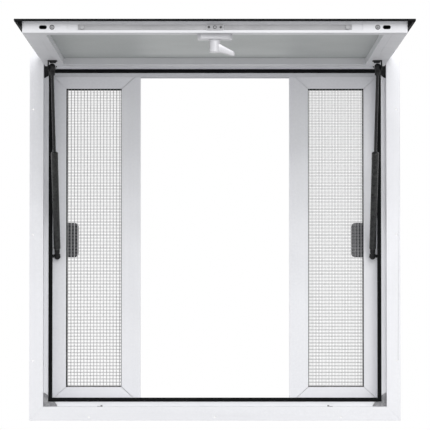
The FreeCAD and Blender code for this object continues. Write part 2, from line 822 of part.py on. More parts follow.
TURN = "(open_angle * 1 deg)"
HEAD_Y = f"({RAIL_BACK} + strut_head_reach)"
HEAD_Z = f"({HINGE_Z} - strut_head_drop)"
OPEN_HEAD_Y = f"({HINGE_Y} + ({HEAD_Y} - {HINGE_Y}) * cos{TURN} - strut_head_drop * sin{TURN})"
OPEN_HEAD_Z = f"({HINGE_Z} - ({HEAD_Y} - {HINGE_Y}) * sin{TURN} - strut_head_drop * cos{TURN})"
FOOT_Y = f"({CHAMBER_BACK} + strut_foot_gap + socket_radius)"
FOOT_Z = "(-strut_foot_drop)"
LEAN = f"atan(({FOOT_Y} - {OPEN_HEAD_Y}) / ({OPEN_HEAD_Z} - {FOOT_Z}))"
STRUT_LENGTH = f"sqrt(({FOOT_Y} - {OPEN_HEAD_Y})^2 + ({OPEN_HEAD_Z} - {FOOT_Z})^2)"
STRUT_X = f"({INNER_X} - strut_inset)"


def on_strut(name, way, radius, start, end):
    """A round bar on the strut's centre line, between distances from its foot."""
    bar = doc.addObject("Part::Cylinder", name)
    bar.setExpression("Radius", bound(radius))
    bar.setExpression("Height", bound(f"({end}) - ({start})"))
    bar.Placement.Rotation = FreeCAD.Rotation(FreeCAD.Vector(1, 0, 0), 1)
    bar.setExpression("Placement.Rotation.Angle", bound(LEAN))
    bar.setExpression("Placement.Base.x", bound(f"{way}{STRUT_X}"))
    bar.setExpression("Placement.Base.y", bound(f"{FOOT_Y} - ({start}) * sin({LEAN})"))
    bar.setExpression("Placement.Base.z", bound(f"{FOOT_Z} + ({start}) * cos({LEAN})"))
    return bar


def socket(name, way, y, z, shank):
    """An eye that turns on a stud, with the shank that joins it to the strut."""
    sides = (f"{way}({STRUT_X} - socket_width / 2)", f"{way}({STRUT_X} + socket_width / 2)")
    eye = rod_along_x("eye", "socket_radius", *sides, y, z)
    bore = rod_along_x("eye_bore", "stud_radius + stud_clearance", *sides, y, z)
    return finished(cut_from(name, fused("eye_and_shank", [eye, shank]), bore), name)


def gas_strut(side, way):
    """Rod, tube and the two end sockets of one strut."""
    length = STRUT_LENGTH
    tube = ("strut_end_length", "strut_end_length + strut_tube_length")
    body = on_strut("tube", way, "strut_tube_radius", *tube)
    hollow = on_strut(
        "hollow",
        way,
        "strut_tube_radius - strut_tube_wall",
        f"{tube[0]} + tube_end_wall",
        f"{tube[1]} - tube_end_wall",
    )
    gland = on_strut("gland", way, "strut_rod_radius + strut_rod_clearance", f"{tube[1]} - gland_length", tube[1])
    finished(cut_from(f"strut_tube_{side}", body, fused("bore", [hollow, gland])), f"strut_tube_{side}")
    shaft = on_strut(
        "shaft", way, "strut_rod_radius", f"{tube[1]} - strut_rod_inside", f"{length} - strut_end_length"
    )
    piston = on_strut(
        "piston",
        way,
        "strut_tube_radius - strut_tube_wall - piston_gap",
        f"{tube[1]} - strut_rod_inside",
        f"{tube[1]} - strut_rod_inside + piston_length",
    )
    finished(fused(f"strut_rod_{side}", [shaft, piston]), f"strut_rod_{side}")
    foot = on_strut("foot_shank", way, "shank_radius", "stud_radius + shank_overlap", "strut_end_length")
    socket(f"strut_foot_socket_{side}", way, FOOT_Y, FOOT_Z, foot)
    top = ("shank_radius", f"{length} - strut_end_length", f"{length} - stud_radius - shank_overlap")
    head = on_strut("head_shank", way, *top)
    socket(f"strut_head_socket_{side}", way, OPEN_HEAD_Y, OPEN_HEAD_Z, head)


def strut_frame_studs():
    """Plates on the jambs with the studs that the struts' feet turn on."""
    studs = []
    for way in ("-", ""):
        body = new_body("frame_stud")
        inside = f"({INNER_X} - bracket_thick)"
        across = (inside, INNER_X) if way == "" else (f"-{INNER_X}", f"-{inside}")
        deep = (f"{FOOT_Y} - socket_radius", f"{FOOT_Y} + socket_radius")
        tall = (f"{FOOT_Z} - bracket_tall", f"{FOOT_Z} + bracket_tall")
        block(body, across, deep, tall)
        tip = f"({STRUT_X} + socket_width / 2 + stud_gap)"
        span = (tip, inside) if way == "" else (f"-{inside}", f"-{tip}")
        grown(body, "YZ", [(FOOT_Y, FOOT_Z, "stud_radius")], *span)
        studs.append(body)
    group("strut_frame_studs", studs)


def strut_door_studs():
    """Angle brackets on the door's stiles with the studs for the struts' heads."""
    studs = []
    tall = (f"{HEAD_Z} - bracket_half", f"{HEAD_Z} + bracket_half")
    for way in ("-", ""):
        body = new_body("door_stud")
        inner = f"({STRUT_X} + socket_width / 2 + stud_gap)"
        outer = f"({inner} + bracket_thick)"
        foot = (f"({outer} - bracket_foot)", outer)
        web = (inner, outer)
        stud = (f"({STRUT_X} - socket_width / 2 + stud_gap)", inner)
        if way == "-":
            foot, web, stud = [(f"-{b}", f"-{a}") for a, b in (foot, web, stud)]
        block(body, foot, (RAIL_BACK, f"{RAIL_BACK} + bracket_thick"), tall)
        block(body, web, (f"{RAIL_BACK} + bracket_thick", f"{HEAD_Y} + socket_radius"), tall)
        grown(body, "YZ", [(HEAD_Y, HEAD_Z, "stud_radius")], *stud)
        studs.append(body)
    hang(group("strut_door_studs", studs))


# ---------------------------------------------------------------- screen sashes

SLOT_FRONT = {
    "front": "(track_front + track_fin + (track_slot - sash_thick) / 2)",
    "rear": "(track_front + track_fin + track_slot + track_middle_fin + (track_slot - sash_thick) / 2)",
}
SASH_LOW = f"(-{INNER_Z} + sash_bottom_gap)"
SASH_HIGH = f"({INNER_Z} - sash_top_gap)"
SLOPE = "(sash_rail_height / stile_width)"


def sash_rect(side):
    """The sash's outer edges, parked against its jamb."""
    outer = f"({INNER_X} - sash_side_gap)"
    inner = f"({INNER_X} - sash_side_gap - sash_width)"
    if side == "left":
        return (f"(-{outer})", f"(-{inner})", SASH_LOW, SASH_HIGH)
    return (inner, outer, SASH_LOW, SASH_HIGH)


def sash_frame(name, rect, front):
    """Four hollow members, mitred, with a groove for the spline round the inside."""
    back = f"({front} + sash_thick)"
    groove = (f"({front} + spline_front)", f"({front} + spline_front + spline_width)")
    inside = "(stile_width - sash_wall)"
    floor = "(stile_width - 2 * sash_wall)"
    steps = [
        ("0", "stile_width", front, f"{front} + sash_wall"),
        ("0", "sash_wall", f"{front} + sash_wall", f"{back} - sash_wall"),
        (inside, "stile_width", f"{front} + sash_wall", groove[0]),
        (inside, "stile_width", groove[1], f"{back} - sash_wall"),
        (floor, inside, f"{groove[0]} - sash_wall", f"{groove[1]} + sash_wall"),
        ("0", "stile_width", f"{back} - sash_wall", back),
    ]
    sides = ("high", "low", "left", "right")
    group(f"{name}_frame", [mitred_member("member", s, rect, steps, SLOPE) for s in sides])


def sash_spline(name, rect, front):
    """The rubber cord pressed into the groove to hold the mesh, one length each side."""
    steps = [
        (
            "stile_width - sash_wall",
            "stile_width + spline_proud",
            f"{front} + spline_front",
            f"{front} + spline_front + spline_width",
        )
    ]
    sides = ("high", "low", "left", "right")
    group(f"{name}_spline", [mitred_member("cord", s, rect, steps, SLOPE) for s in sides])


def sash_mesh(name, rect, front):
    """The wire cloth as one thin sheet."""
    left, right, low, high = rect
    inset = "(stile_width + spline_proud)"
    middle = f"({front} + spline_front + spline_width / 2)"
    block_part(
        f"{name}_mesh",
        (f"{left} + {inset}", f"{right} - {inset}"),
        (f"{middle} - mesh_thick / 2", f"{middle} + mesh_thick / 2"),
        (f"{low} + {inset} * {SLOPE}", f"{high} - {inset} * {SLOPE}"),
    )


def sash_glides(name, rect, front):
    """Nylon blocks under the bottom rail, near its two ends."""
    left, right, low, high = rect
    middle = f"({front} + sash_thick / 2)"
    glides = []
    for start in (f"{left} + stile_width", f"{right} - stile_width - glide_length"):
        body = new_body("glide")
        deep = (f"{middle} - glide_width / 2", f"{middle} + glide_width / 2")
        tall = (f"-{INNER_Z} + track_base + glide_clearance", low)
        block(body, (start, f"{start} + glide_length"), deep, tall)
        glides.append(body)
    group(f"{name}_glides", glides)


def sash_pull(name, rect, side, front):
    """A D-shaped finger pull on the inside, reaching over the mesh from the outer stile."""
    left, right, low, high = rect
    edge, way = (f"({left} + stile_width)", "") if side == "left" else (f"({right} - stile_width)", "-")
    tip, foot = (f"{edge} + {way}{d}" for d in ("pull_reach", "(-pull_foot)"))
    radius = "(pull_reach / 2)"
    straight = f"{edge} + {way}{radius}"
    tall = ("-pull_drop - pull_height / 2", "-pull_drop + pull_height / 2")
    deep = (f"{front} + sash_thick", f"{front} + sash_thick + pull_thick")
    body = new_body(f"{name}_pull")
    ends = (foot, straight) if side == "left" else (straight, foot)
    block(body, ends, deep, tall)
    belly = (straight, tip) if side == "left" else (tip, straight)
    block(body, belly, deep, (f"{tall[0]} + {radius}", f"{tall[1]} - {radius}"))
    for z in (f"{tall[0]} + {radius}", f"{tall[1]} - {radius}"):
        grown(body, "XZ", [(straight, z, radius)], *deep)
    finished(body, f"{name}_pull")


def sash(row, side):
    name = f"sash_{row}_{side}"
    rect, front = sash_rect(side), SLOT_FRONT[row]
    sash_frame(name, rect, front)
    sash_spline(name, rect, front)
    sash_mesh(name, rect, front)
    sash_glides(name, rect, front)
    if row == "rear":
        sash_pull(name, rect, side, front)


# ---------------------------------------------------------------- assembly

frame_members()
frame_corner_keys()
weather_seal()
seal_corner_blocks()
flat_tracks()
jamb_tracks()
lock_keepers()
strut_frame_studs()
door_sheets()
door_members()
door_beads()
door_corner_keys()
door_edge_trim()
hinge()
lock_bars()
lock_faceplate()
door_screws()
lock_handle_base()
lock_handle()
lock_spindle()
strut_door_studs()
gas_strut("left", "-")
gas_strut("right", "")
for sash_row in ("front", "rear"):
    for sash_side in ("left", "right"):
        sash(sash_row, sash_side)

doc.recompute()

for item in doc.Objects:
    if "Invalid" in item.State or "Error" in item.State:
        raise RuntimeError(f"{item.Label} did not recompute: {item.State}")
for item in sub_parts:
    if item.Shape.isNull() or not item.Shape.isValid():
        raise RuntimeError(f"{item.Label} has no valid shape")

os.makedirs("parts", exist_ok=True)
for item in sub_parts:
    item.Shape.exportStep(f"parts/{item.Label}.step")
print(f"{len(sub_parts)} sub-parts written")
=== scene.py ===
"""Looks of a serving window: an awning door on gas struts, with screen sashes behind it.

Metres, +Z up, +Y from the outside to the inside. The camera stands outside, in front.
"""
import json
import math
import bpy
from mathutils import Matrix, Vector

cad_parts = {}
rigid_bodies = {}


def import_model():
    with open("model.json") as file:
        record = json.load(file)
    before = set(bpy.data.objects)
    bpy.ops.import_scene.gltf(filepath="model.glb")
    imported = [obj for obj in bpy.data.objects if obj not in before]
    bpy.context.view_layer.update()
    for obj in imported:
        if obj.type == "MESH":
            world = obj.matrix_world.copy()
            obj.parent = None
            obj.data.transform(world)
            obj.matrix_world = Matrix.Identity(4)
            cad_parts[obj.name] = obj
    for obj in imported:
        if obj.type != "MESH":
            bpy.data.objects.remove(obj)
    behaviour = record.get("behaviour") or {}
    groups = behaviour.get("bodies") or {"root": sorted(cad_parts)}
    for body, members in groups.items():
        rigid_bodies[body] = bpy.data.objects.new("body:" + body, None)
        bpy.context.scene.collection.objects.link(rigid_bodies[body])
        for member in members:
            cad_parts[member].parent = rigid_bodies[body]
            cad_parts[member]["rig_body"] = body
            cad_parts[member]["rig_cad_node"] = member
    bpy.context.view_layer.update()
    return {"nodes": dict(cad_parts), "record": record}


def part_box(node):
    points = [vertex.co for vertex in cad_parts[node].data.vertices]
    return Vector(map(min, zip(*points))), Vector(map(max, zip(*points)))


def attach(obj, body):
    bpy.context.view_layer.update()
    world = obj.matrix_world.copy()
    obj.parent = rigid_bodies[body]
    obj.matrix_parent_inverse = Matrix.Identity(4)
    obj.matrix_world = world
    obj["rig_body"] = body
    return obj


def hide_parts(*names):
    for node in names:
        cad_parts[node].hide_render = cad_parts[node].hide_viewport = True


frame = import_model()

MM = 0.001
NODES = frame["nodes"]
BEHAVIOUR = frame["record"]["behaviour"]
BODY_OF = {node: body for body, nodes in BEHAVIOUR["bodies"].items() for node in nodes}
JOINTS = {joint["name"]: joint for joint in BEHAVIOUR["joints"]}
TURNED = (
    "hinge_frame_leaf", "hinge_door_leaf", "hinge_pin", "strut_frame_studs", "strut_door_studs"
)
# sizes that the making needs, in mm
RAIL_FACE = -929.0
RAIL_MIDDLE = 456.3
PLUG_PLACE = 399
SCREW_PLACE = 378
PLATE_SCREW_PLACE = 13.8
TUBE_LENGTH = 282
SHANK_LENGTH = 22
STRUT_FOOT = (54.0, -55.3)
SASH_STILE, SASH_RAIL = 50, 45.3
SASHES = [f"sash_{row}_{side}" for row in ("front", "rear") for side in ("left", "right")]


# ---------------------------------------------------------------- small tools

def activate(piece):
    bpy.ops.object.select_all(action="DESELECT")
    piece.select_set(True)
    bpy.context.view_layer.objects.active = piece


def apply_modifier(piece, kind, **settings):
    """Add a modifier, set it and apply it."""
    activate(piece)
    modifier = piece.modifiers.new(kind.title(), kind)
    for key, setting in settings.items():
        setattr(modifier, key, setting)
    bpy.ops.object.modifier_apply(modifier=modifier.name)


def settle(piece, name):
    """Name a piece and move its place into its mesh."""
    piece.name = name
    activate(piece)
    bpy.ops.object.transform_apply(location=True, rotation=True, scale=True)
    return piece


def close_up(piece, smooth=35):
    """Merge doubled points, turn faces outwards and shade the round parts smooth."""
    activate(piece)
    bpy.ops.object.mode_set(mode="EDIT")
    bpy.ops.mesh.select_all(action="SELECT")
    bpy.ops.mesh.remove_doubles(threshold=0.01 * MM)
    bpy.ops.mesh.normals_make_consistent(inside=False)
    bpy.ops.object.mode_set(mode="OBJECT")
    bpy.ops.object.shade_smooth_by_angle(angle=math.radians(smooth))
    return piece


def join(pieces, name):
    activate(pieces[0])
    for piece in pieces:
        piece.select_set(True)
    bpy.ops.object.join()
    joined = bpy.context.view_layer.objects.active
    joined.name = name
    return joined


def hand_over(piece, node, material, *more):
    """Let a piece stand for its CAD node: same body, its own material, the node hidden."""
    piece.data.materials.clear()
    piece.data.materials.append(material)
    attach(piece, BODY_OF[node])
    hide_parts(node, *more)
    return piece


def select_faces(piece, wanted):
    """In edit mode, leave only the faces selected for which wanted(face) holds."""
    bpy.ops.object.mode_set(mode="EDIT")
    bpy.ops.mesh.select_mode(type="FACE")
    bpy.ops.mesh.select_all(action="DESELECT")
    bpy.ops.object.mode_set(mode="OBJECT")
    for face in piece.data.polygons:
        face.select = wanted(face)
    bpy.ops.object.mode_set(mode="EDIT")


def bare_copy(node):
    """A copy of a CAD piece with its doubled points merged and its flat faces whole."""
    piece = NODES[node].copy()
    piece.data = piece.data.copy()
    piece.parent = None
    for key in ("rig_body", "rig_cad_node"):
        if key in piece:
            del piece[key]
    bpy.context.scene.collection.objects.link(piece)
    piece.name = f"{node}_finished"
    activate(piece)
    bpy.ops.mesh.customdata_custom_splitnormals_clear()
    bpy.ops.object.mode_set(mode="EDIT")
    bpy.ops.mesh.select_all(action="SELECT")
    bpy.ops.mesh.remove_doubles(threshold=0.005 * MM)
    bpy.ops.mesh.dissolve_limited(angle_limit=math.radians(0.5))
    bpy.ops.object.mode_set(mode="OBJECT")
    bpy.ops.object.shade_flat()
    return piece


def refined(node, edge=0.4, segments=2, angle=30, turned=False):
    """A copy of a CAD piece with merged faces and small rounded edges (edge in mm).

    Turned pieces are shaded smooth; extruded and flat ones keep their flat faces.
    """
    piece = bare_copy(node)
    apply_modifier(
        piece,
        "BEVEL",
        width=edge * MM,
        segments=segments,
        limit_method="ANGLE",
        angle_limit=math.radians(angle),
        use_clamp_overlap=False,
    )
    if turned:
        bpy.ops.object.shade_smooth_by_angle(angle=math.radians(40))
    else:
        bpy.ops.object.shade_flat()
    return piece


def drawn(name, sides, steps, capped=True, squares=False):
    """A form drawn out along +Z. Each step is (station, radius) in mm; capped or a closed ring.

    With squares, radius is half the width of a square and the ring has mitred corners.
    """
    stretch = math.sqrt(2) if squares else 1
    (station, radius), rest = steps[0], steps[1:]
    bpy.ops.object.select_all(action="DESELECT")
    bpy.ops.mesh.primitive_circle_add(
        vertices=sides,
        radius=radius * stretch * MM,
        fill_type="NGON" if capped else "NOTHING",
        location=(0, 0, station * MM),
    )
    piece = bpy.context.active_object
    bpy.ops.object.transform_apply(location=True, rotation=True, scale=True)
    bpy.ops.object.mode_set(mode="EDIT")
    bpy.ops.mesh.select_all(action="SELECT")
    for next_station, next_radius in rest:
        move = (0, 0, (next_station - station) * MM)
        bpy.ops.mesh.extrude_region_move(TRANSFORM_OT_translate={"value": move})
        scale = next_radius / radius
        bpy.ops.transform.resize(value=(scale, scale, 1), center_override=(0, 0, next_station * MM))
        station, radius = next_station, next_radius
    bpy.ops.object.mode_set(mode="OBJECT")
    if squares:
        piece.data.transform(Matrix.Rotation(math.radians(45), 4, "Z"))
    piece.name = name
    return close_up(piece)


def laid(piece, start, direction):
    """Turn a drawn form's +Z to a direction and set its foot at a point."""
    turn = Vector(direction).to_track_quat("Z", "X").to_matrix().to_4x4()
    piece.data.transform(Matrix.Translation(Vector(start)) @ turn)
    return piece


def cut_away(piece, point, normal):
    """Cut a closed piece with a plane and throw away the side the normal points to (mm)."""
    activate(piece)
    bpy.ops.object.mode_set(mode="EDIT")
    bpy.ops.mesh.select_all(action="SELECT")
    bpy.ops.mesh.bisect(
        plane_co=Vector(point) * MM, plane_no=normal, use_fill=True, clear_outer=True, threshold=1e-6
    )
    bpy.ops.object.mode_set(mode="OBJECT")
    return piece


def rounded(piece, edge, segments=2, angle=30, smooth=True):
    """Round every sharp edge of a piece (mm)."""
    apply_modifier(
        piece,
        "BEVEL",
        width=edge * MM,
        segments=segments,
        limit_method="ANGLE",
        angle_limit=math.radians(angle),
    )
    if smooth:
        bpy.ops.object.shade_smooth_by_angle(angle=math.radians(40))
    return piece


def started(name, low, high):
    """A box between two corners (mm), to be shaped further."""
    bpy.ops.object.select_all(action="DESELECT")
    middle = [(a + b) / 2 * MM for a, b in zip(low, high)]
    bpy.ops.mesh.primitive_cube_add(size=1, location=middle)
    piece = bpy.context.active_object
    piece.scale = [(b - a) * MM for a, b in zip(low, high)]
    return settle(piece, name)


def chosen_edges(piece, wanted, offset, segments=1):
    """Bevel the edges for which wanted(start, end) holds; corners come in mm."""
    activate(piece)
    bpy.ops.object.mode_set(mode="EDIT")
    bpy.ops.mesh.select_mode(type="EDGE")
    bpy.ops.mesh.select_all(action="DESELECT")
    bpy.ops.object.mode_set(mode="OBJECT")
    spots = [v.co / MM for v in piece.data.vertices]
    for edge in piece.data.edges:
        edge.select = wanted(*(spots[v] for v in edge.vertices))
    bpy.ops.object.mode_set(mode="EDIT")
    bpy.ops.mesh.bevel(offset=offset * MM, segments=segments, affect="EDGES")
    bpy.ops.object.mode_set(mode="OBJECT")
    return piece


def sunk(piece, wanted, margin, depth):
    """Inset the chosen faces by a margin and push the inner part in (mm)."""
    activate(piece)
    select_faces(piece, wanted)
    bpy.ops.mesh.inset(thickness=margin * MM, depth=0)
    bpy.ops.mesh.inset(thickness=0.3 * MM, depth=-depth * MM)
    bpy.ops.object.mode_set(mode="OBJECT")
    return piece


# ---------------------------------------------------------------- shader groups

def new_group(name, inputs, outputs):
    """An empty shader group with named sockets; inputs are (kind, name, default)."""
    group = bpy.data.node_groups.new(name, "ShaderNodeTree")
    for kind, label, default in inputs:
        socket = group.interface.new_socket(label, in_out="INPUT", socket_type=f"NodeSocket{kind}")
        socket.default_value = default
    for kind, label in outputs:
        group.interface.new_socket(label, in_out="OUTPUT", socket_type=f"NodeSocket{kind}")
    return group, group.nodes.new("NodeGroupInput"), group.nodes.new("NodeGroupOutput")


def math_node(tree, operation, first, second):
    node = tree.nodes.new("ShaderNodeMath")
    node.operation = operation
    for socket, source in zip(node.inputs, (first, second)):
        if isinstance(source, (int, float)):
            socket.default_value = source
        else:
            tree.links.new(source, socket)
    return node.outputs[0]


def ramp(tree, source, low, high):
    """Stretch a value so that low becomes 0 and high becomes 1, held inside."""
    node = tree.nodes.new("ShaderNodeMapRange")
    node.inputs["From Min"].default_value = low
    node.inputs["From Max"].default_value = high
    tree.links.new(source, node.inputs["Value"])
    return node.outputs["Result"]


def noise(tree, vector, scale, detail=3, rough=0.55):
    node = tree.nodes.new("ShaderNodeTexNoise")
    node.inputs["Scale"].default_value = scale
    node.inputs["Detail"].default_value = detail
    node.inputs["Roughness"].default_value = rough
    tree.links.new(vector, node.inputs["Vector"])
    return node.outputs["Fac"]


def stretched(tree, source, factors):
    node = tree.nodes.new("ShaderNodeVectorMath")
    node.operation = "MULTIPLY"
    tree.links.new(source, node.inputs[0])
    if isinstance(factors, tuple):
        node.inputs[1].default_value = factors
    else:
        tree.links.new(factors, node.inputs[1])
    return node.outputs[0]


def drawing_lines_group():
    """Fine die lines along an extrusion or a sheet's rolling direction."""
    inputs = [("Vector", "Run", (1, 1, 1)), ("Float", "Contrast", 0.5)]
    group, given, out = new_group("drawing_lines", inputs, [("Float", "Lines"), ("Float", "Height")])
    place = group.nodes.new("ShaderNodeTexCoord").outputs["Object"]
    run = stretched(group, place, given.outputs["Run"])
    broad = noise(group, run, 60, 2)
    fine = noise(group, run, 420, 4, 0.7)
    broad_part = math_node(group, "MULTIPLY", broad, 0.4)
    both = math_node(group, "ADD", broad_part, math_node(group, "MULTIPLY", fine, 0.6))
    centred = math_node(group, "SUBTRACT", both, 0.5)
    lines = math_node(group, "MULTIPLY", centred, given.outputs["Contrast"])
    group.links.new(lines, out.inputs["Lines"])
    group.links.new(both, out.inputs["Height"])
    return group


def handling_group():
    """Cloudy smudges and small scuffs from handling and weather."""
    inputs = [("Float", "Size", 9.0), ("Float", "Scuffs", 0.5)]
    group, given, out = new_group("handling_marks", inputs, [("Float", "Clouds"), ("Float", "Scuffs")])
    place = group.nodes.new("ShaderNodeTexCoord").outputs["Object"]
    cloud = group.nodes.new("ShaderNodeTexNoise")
    cloud.inputs["Detail"].default_value = 5
    group.links.new(place, cloud.inputs["Vector"])
    group.links.new(given.outputs["Size"], cloud.inputs["Scale"])
    group.links.new(ramp(group, cloud.outputs["Fac"], 0.3, 0.7), out.inputs["Clouds"])
    scratch = noise(group, stretched(group, place, (3, 3, 40)), 30, 6, 0.8)
    specks = noise(group, place, 900, 2, 0.6)
    marks = math_node(group, "MULTIPLY", ramp(group, scratch, 0.62, 0.7), ramp(group, specks, 0.45, 0.6))
    group.links.new(math_node(group, "MULTIPLY", marks, given.outputs["Scuffs"]), out.inputs["Scuffs"])
    return group


def edge_group():
    """Where an edge is rubbed bright, broken up by noise."""
    inputs = [("Float", "Amount", 0.5)]
    group, given, out = new_group("rubbed_edges", inputs, [("Float", "Mask")])
    place = group.nodes.new("ShaderNodeTexCoord").outputs["Object"]
    sharp = ramp(group, group.nodes.new("ShaderNodeNewGeometry").outputs["Pointiness"], 0.51, 0.58)
    broken = ramp(group, noise(group, place, 160, 4, 0.7), 0.4, 0.65)
    mask = math_node(group, "MULTIPLY", sharp, broken)
    group.links.new(math_node(group, "MULTIPLY", mask, given.outputs["Amount"]), out.inputs["Mask"])
    return group


GROUPS = {"lines": drawing_lines_group(), "handling": handling_group(), "edges": edge_group()}
ALONG = {"x": (0.02, 1, 1), "y": (1, 0.02, 1), "z": (1, 1, 0.02), "none": (1, 1, 1)}


def place_group(tree, key, **values):
    node = tree.nodes.new("ShaderNodeGroup")
    node.node_tree = GROUPS[key]
    for label, setting in values.items():
        node.inputs[label].default_value = setting
    return node


def blend_colour(tree, factor, first, second, mode="MIX"):
    node = tree.nodes.new("ShaderNodeMix")
    node.data_type = "RGBA"
    node.blend_type = mode
    for socket, source in (
        (node.inputs["Factor"], factor), (node.inputs["A"], first), (node.inputs["B"], second)
    ):
        if isinstance(source, bpy.types.NodeSocket):
            tree.links.new(source, socket)
        elif isinstance(source, tuple):
            socket.default_value = (*source, 1)
        else:
            socket.default_value = source
    return node.outputs["Result"]


def finish_material(name, colour, shade, rough, metallic=0.0, run="none", lines=0.25, clouds=0.5,
                    scuffs=0.3, rubbed=0.5, edge_colour=None, size=9.0, bump=0.02,
                    coat=0.0, lift=0.06, gloss=0.5):
    """Base colour with clouds, die lines, scuffs and rubbed edges; roughness and bump to match."""
    material = bpy.data.materials.new(name)
    material.use_nodes = True
    tree = material.node_tree
    surface = tree.nodes["Principled BSDF"]
    grain = place_group(tree, "lines", Run=ALONG[run], Contrast=lines)
    marks = place_group(tree, "handling", Size=size, Scuffs=scuffs)
    edges = place_group(tree, "edges", Amount=rubbed)
    cloud_share = math_node(tree, "MULTIPLY", marks.outputs["Clouds"], clouds)
    cloudy = blend_colour(tree, cloud_share, colour, shade)
    light = math_node(tree, "ADD", grain.outputs["Lines"], 1.0)
    streaked = blend_colour(tree, 1.0, cloudy, combine(tree, light), "MULTIPLY")
    scuffed = blend_colour(tree, marks.outputs["Scuffs"], streaked, shade)
    bright = edge_colour or tuple(min(1.0, c + lift) for c in colour)
    worn = blend_colour(tree, edges.outputs["Mask"], scuffed, bright)
    tree.links.new(worn, surface.inputs["Base Color"])
    varied = math_node(tree, "MULTIPLY_ADD", marks.outputs["Clouds"], 0.12)
    varied.node.inputs[2].default_value = rough
    streaky = math_node(tree, "ADD", varied, math_node(tree, "MULTIPLY", grain.outputs["Lines"], 0.3))
    scuff_share = math_node(tree, "MULTIPLY", marks.outputs["Scuffs"], 0.2)
    tree.links.new(math_node(tree, "ADD", streaky, scuff_share),
                   surface.inputs["Roughness"])
    surface.inputs["Metallic"].default_value = metallic
    surface.inputs["Coat Weight"].default_value = coat
    surface.inputs["Specular IOR Level"].default_value = gloss
    relief = tree.nodes.new("ShaderNodeBump")
    relief.inputs["Strength"].default_value = 0.25
    relief.inputs["Distance"].default_value = bump * MM
    tree.links.new(grain.outputs["Height"], relief.inputs["Height"])
    tree.links.new(relief.outputs["Normal"], surface.inputs["Normal"])
    return material


def combine(tree, value):
    """A grey colour from one value."""
    node = tree.nodes.new("ShaderNodeCombineColor")
    for socket in node.inputs:
        tree.links.new(value, socket)
    return node.outputs["Color"]


# ---------------------------------------------------------------- finishes

def anodised(name, run, level=0.80, **extra):
    colour = (level, level * 1.006, level * 1.035)
    shade = (level * 0.94, level * 0.945, level * 0.975)
    return finish_material(name, colour, shade, 0.42, 0.25, run, lines=0.10, clouds=0.35, **extra)


FRAME_X, FRAME_Z = (anodised(f"frame_aluminium_along_{a}", a, 0.85) for a in "xz")
SASH_X, SASH_Z = (anodised(f"sash_aluminium_along_{a}", a, 0.85) for a in "xz")
# The door's aluminium is set darker (0.67) than the frame's: painted shade for the door's shaded
# undersides.
RAIL_X, RAIL_Y = (anodised(f"door_aluminium_along_{a}", a, 0.67) for a in "xy")
TRACK = anodised("track_aluminium", "x", 0.70)
DOOR_SKIN = finish_material(
    "door_skin_paint", (0.80, 0.81, 0.82), (0.74, 0.75, 0.76), 0.32, 0.0, "none",
    lines=0.03, clouds=0.3, scuffs=0.5, size=4.0, bump=0.05, coat=0.2)
DOOR_SHEET = finish_material(
    "door_inner_sheet", (0.42, 0.445, 0.435), (0.37, 0.39, 0.38), 0.36, 0.35, "x",
    lines=0.16, clouds=0.5, scuffs=0.4, size=3.0)
RUBBER = finish_material(
    "seal_rubber", (0.004, 0.0045, 0.005), (0.009, 0.0095, 0.010), 0.6, 0.0, "none",
    lines=0.4, clouds=0.6, scuffs=0.5, rubbed=0.2, size=25, bump=0.06, lift=0.02, gloss=0.08)
BLACK_PAINT = finish_material(
    "strut_black_paint", (0.010, 0.011, 0.011), (0.02, 0.02, 0.021), 0.24, 0.0, "none",
    lines=0.3, clouds=0.5, scuffs=0.5, rubbed=0.4, size=18, lift=0.10, gloss=0.4)
BRACKET_BLACK = finish_material(
    "bracket_black_coat", (0.010, 0.011, 0.011), (0.02, 0.02, 0.021), 0.6, 0.0, "none",
    lines=0.4, clouds=0.6, scuffs=0.5, rubbed=0.5, size=30, bump=0.06, lift=0.08, gloss=0.12)
ROD = finish_material(
    "strut_rod_nitrided", (0.035, 0.035, 0.037), (0.02, 0.02, 0.022), 0.16, 0.6, "none",
    gloss=0.4, lines=0.3, clouds=0.6, scuffs=0.5, rubbed=0.2, size=22)
# The same drawn wire as the warp, made darker as painted shade so that the top-lit across wires do not
# look faint.
WEFT_WIRE_PAINTED_SHADE = finish_material(
    "drawn_weft_wire", (0.42, 0.42, 0.43), (0.36, 0.36, 0.37), 0.5, 0.3, "none",
    lines=0.3, clouds=0.4, scuffs=0.3, rubbed=0.0, size=40)
BLACK_NYLON = finish_material(
    "strut_end_nylon", (0.010, 0.010, 0.011), (0.02, 0.02, 0.021), 0.45, 0.0, "none", gloss=0.25,
    lines=0.5, clouds=0.5, scuffs=0.4, rubbed=0.4, size=30, bump=0.08, lift=0.06)
CAST_ZINC = finish_material(
    "cast_zinc", (0.30, 0.30, 0.31), (0.16, 0.16, 0.17), 0.5, 0.6, "none",
    lines=0.9, clouds=1.0, scuffs=0.8, rubbed=0.7, size=70, bump=0.2, lift=0.25)
KEY_ZINC = finish_material(
    "corner_key_zinc", (0.42, 0.42, 0.43), (0.3, 0.3, 0.31), 0.45, 0.7, "none",
    lines=0.6, clouds=0.8, scuffs=0.5, size=50, bump=0.1)
STEEL = finish_material(
    "hinge_stainless", (0.62, 0.62, 0.63), (0.52, 0.52, 0.53), 0.3, 0.9, "x",
    lines=0.35, clouds=0.4, scuffs=0.5, size=14)
PLATED = finish_material(
    "zinc_plated_steel", (0.37, 0.37, 0.38), (0.30, 0.30, 0.31), 0.42, 0.35, "x",
    lines=0.25, clouds=0.5, scuffs=0.6, size=20)
HANDLE_CAST = finish_material(
    "handle_silver_lacquer", (0.58, 0.58, 0.60), (0.51, 0.51, 0.53), 0.34, 0.2, "none",
    lines=0.12, clouds=0.4, scuffs=0.5, rubbed=0.6, size=40, bump=0.08, coat=0.5)
SCREW_BLACK = finish_material(
    "screw_black_oxide", (0.05, 0.05, 0.052), (0.09, 0.09, 0.09), 0.35, 0.7, "none",
    lines=0.4, clouds=0.5, scuffs=0.5, rubbed=0.8, size=60, lift=0.25)
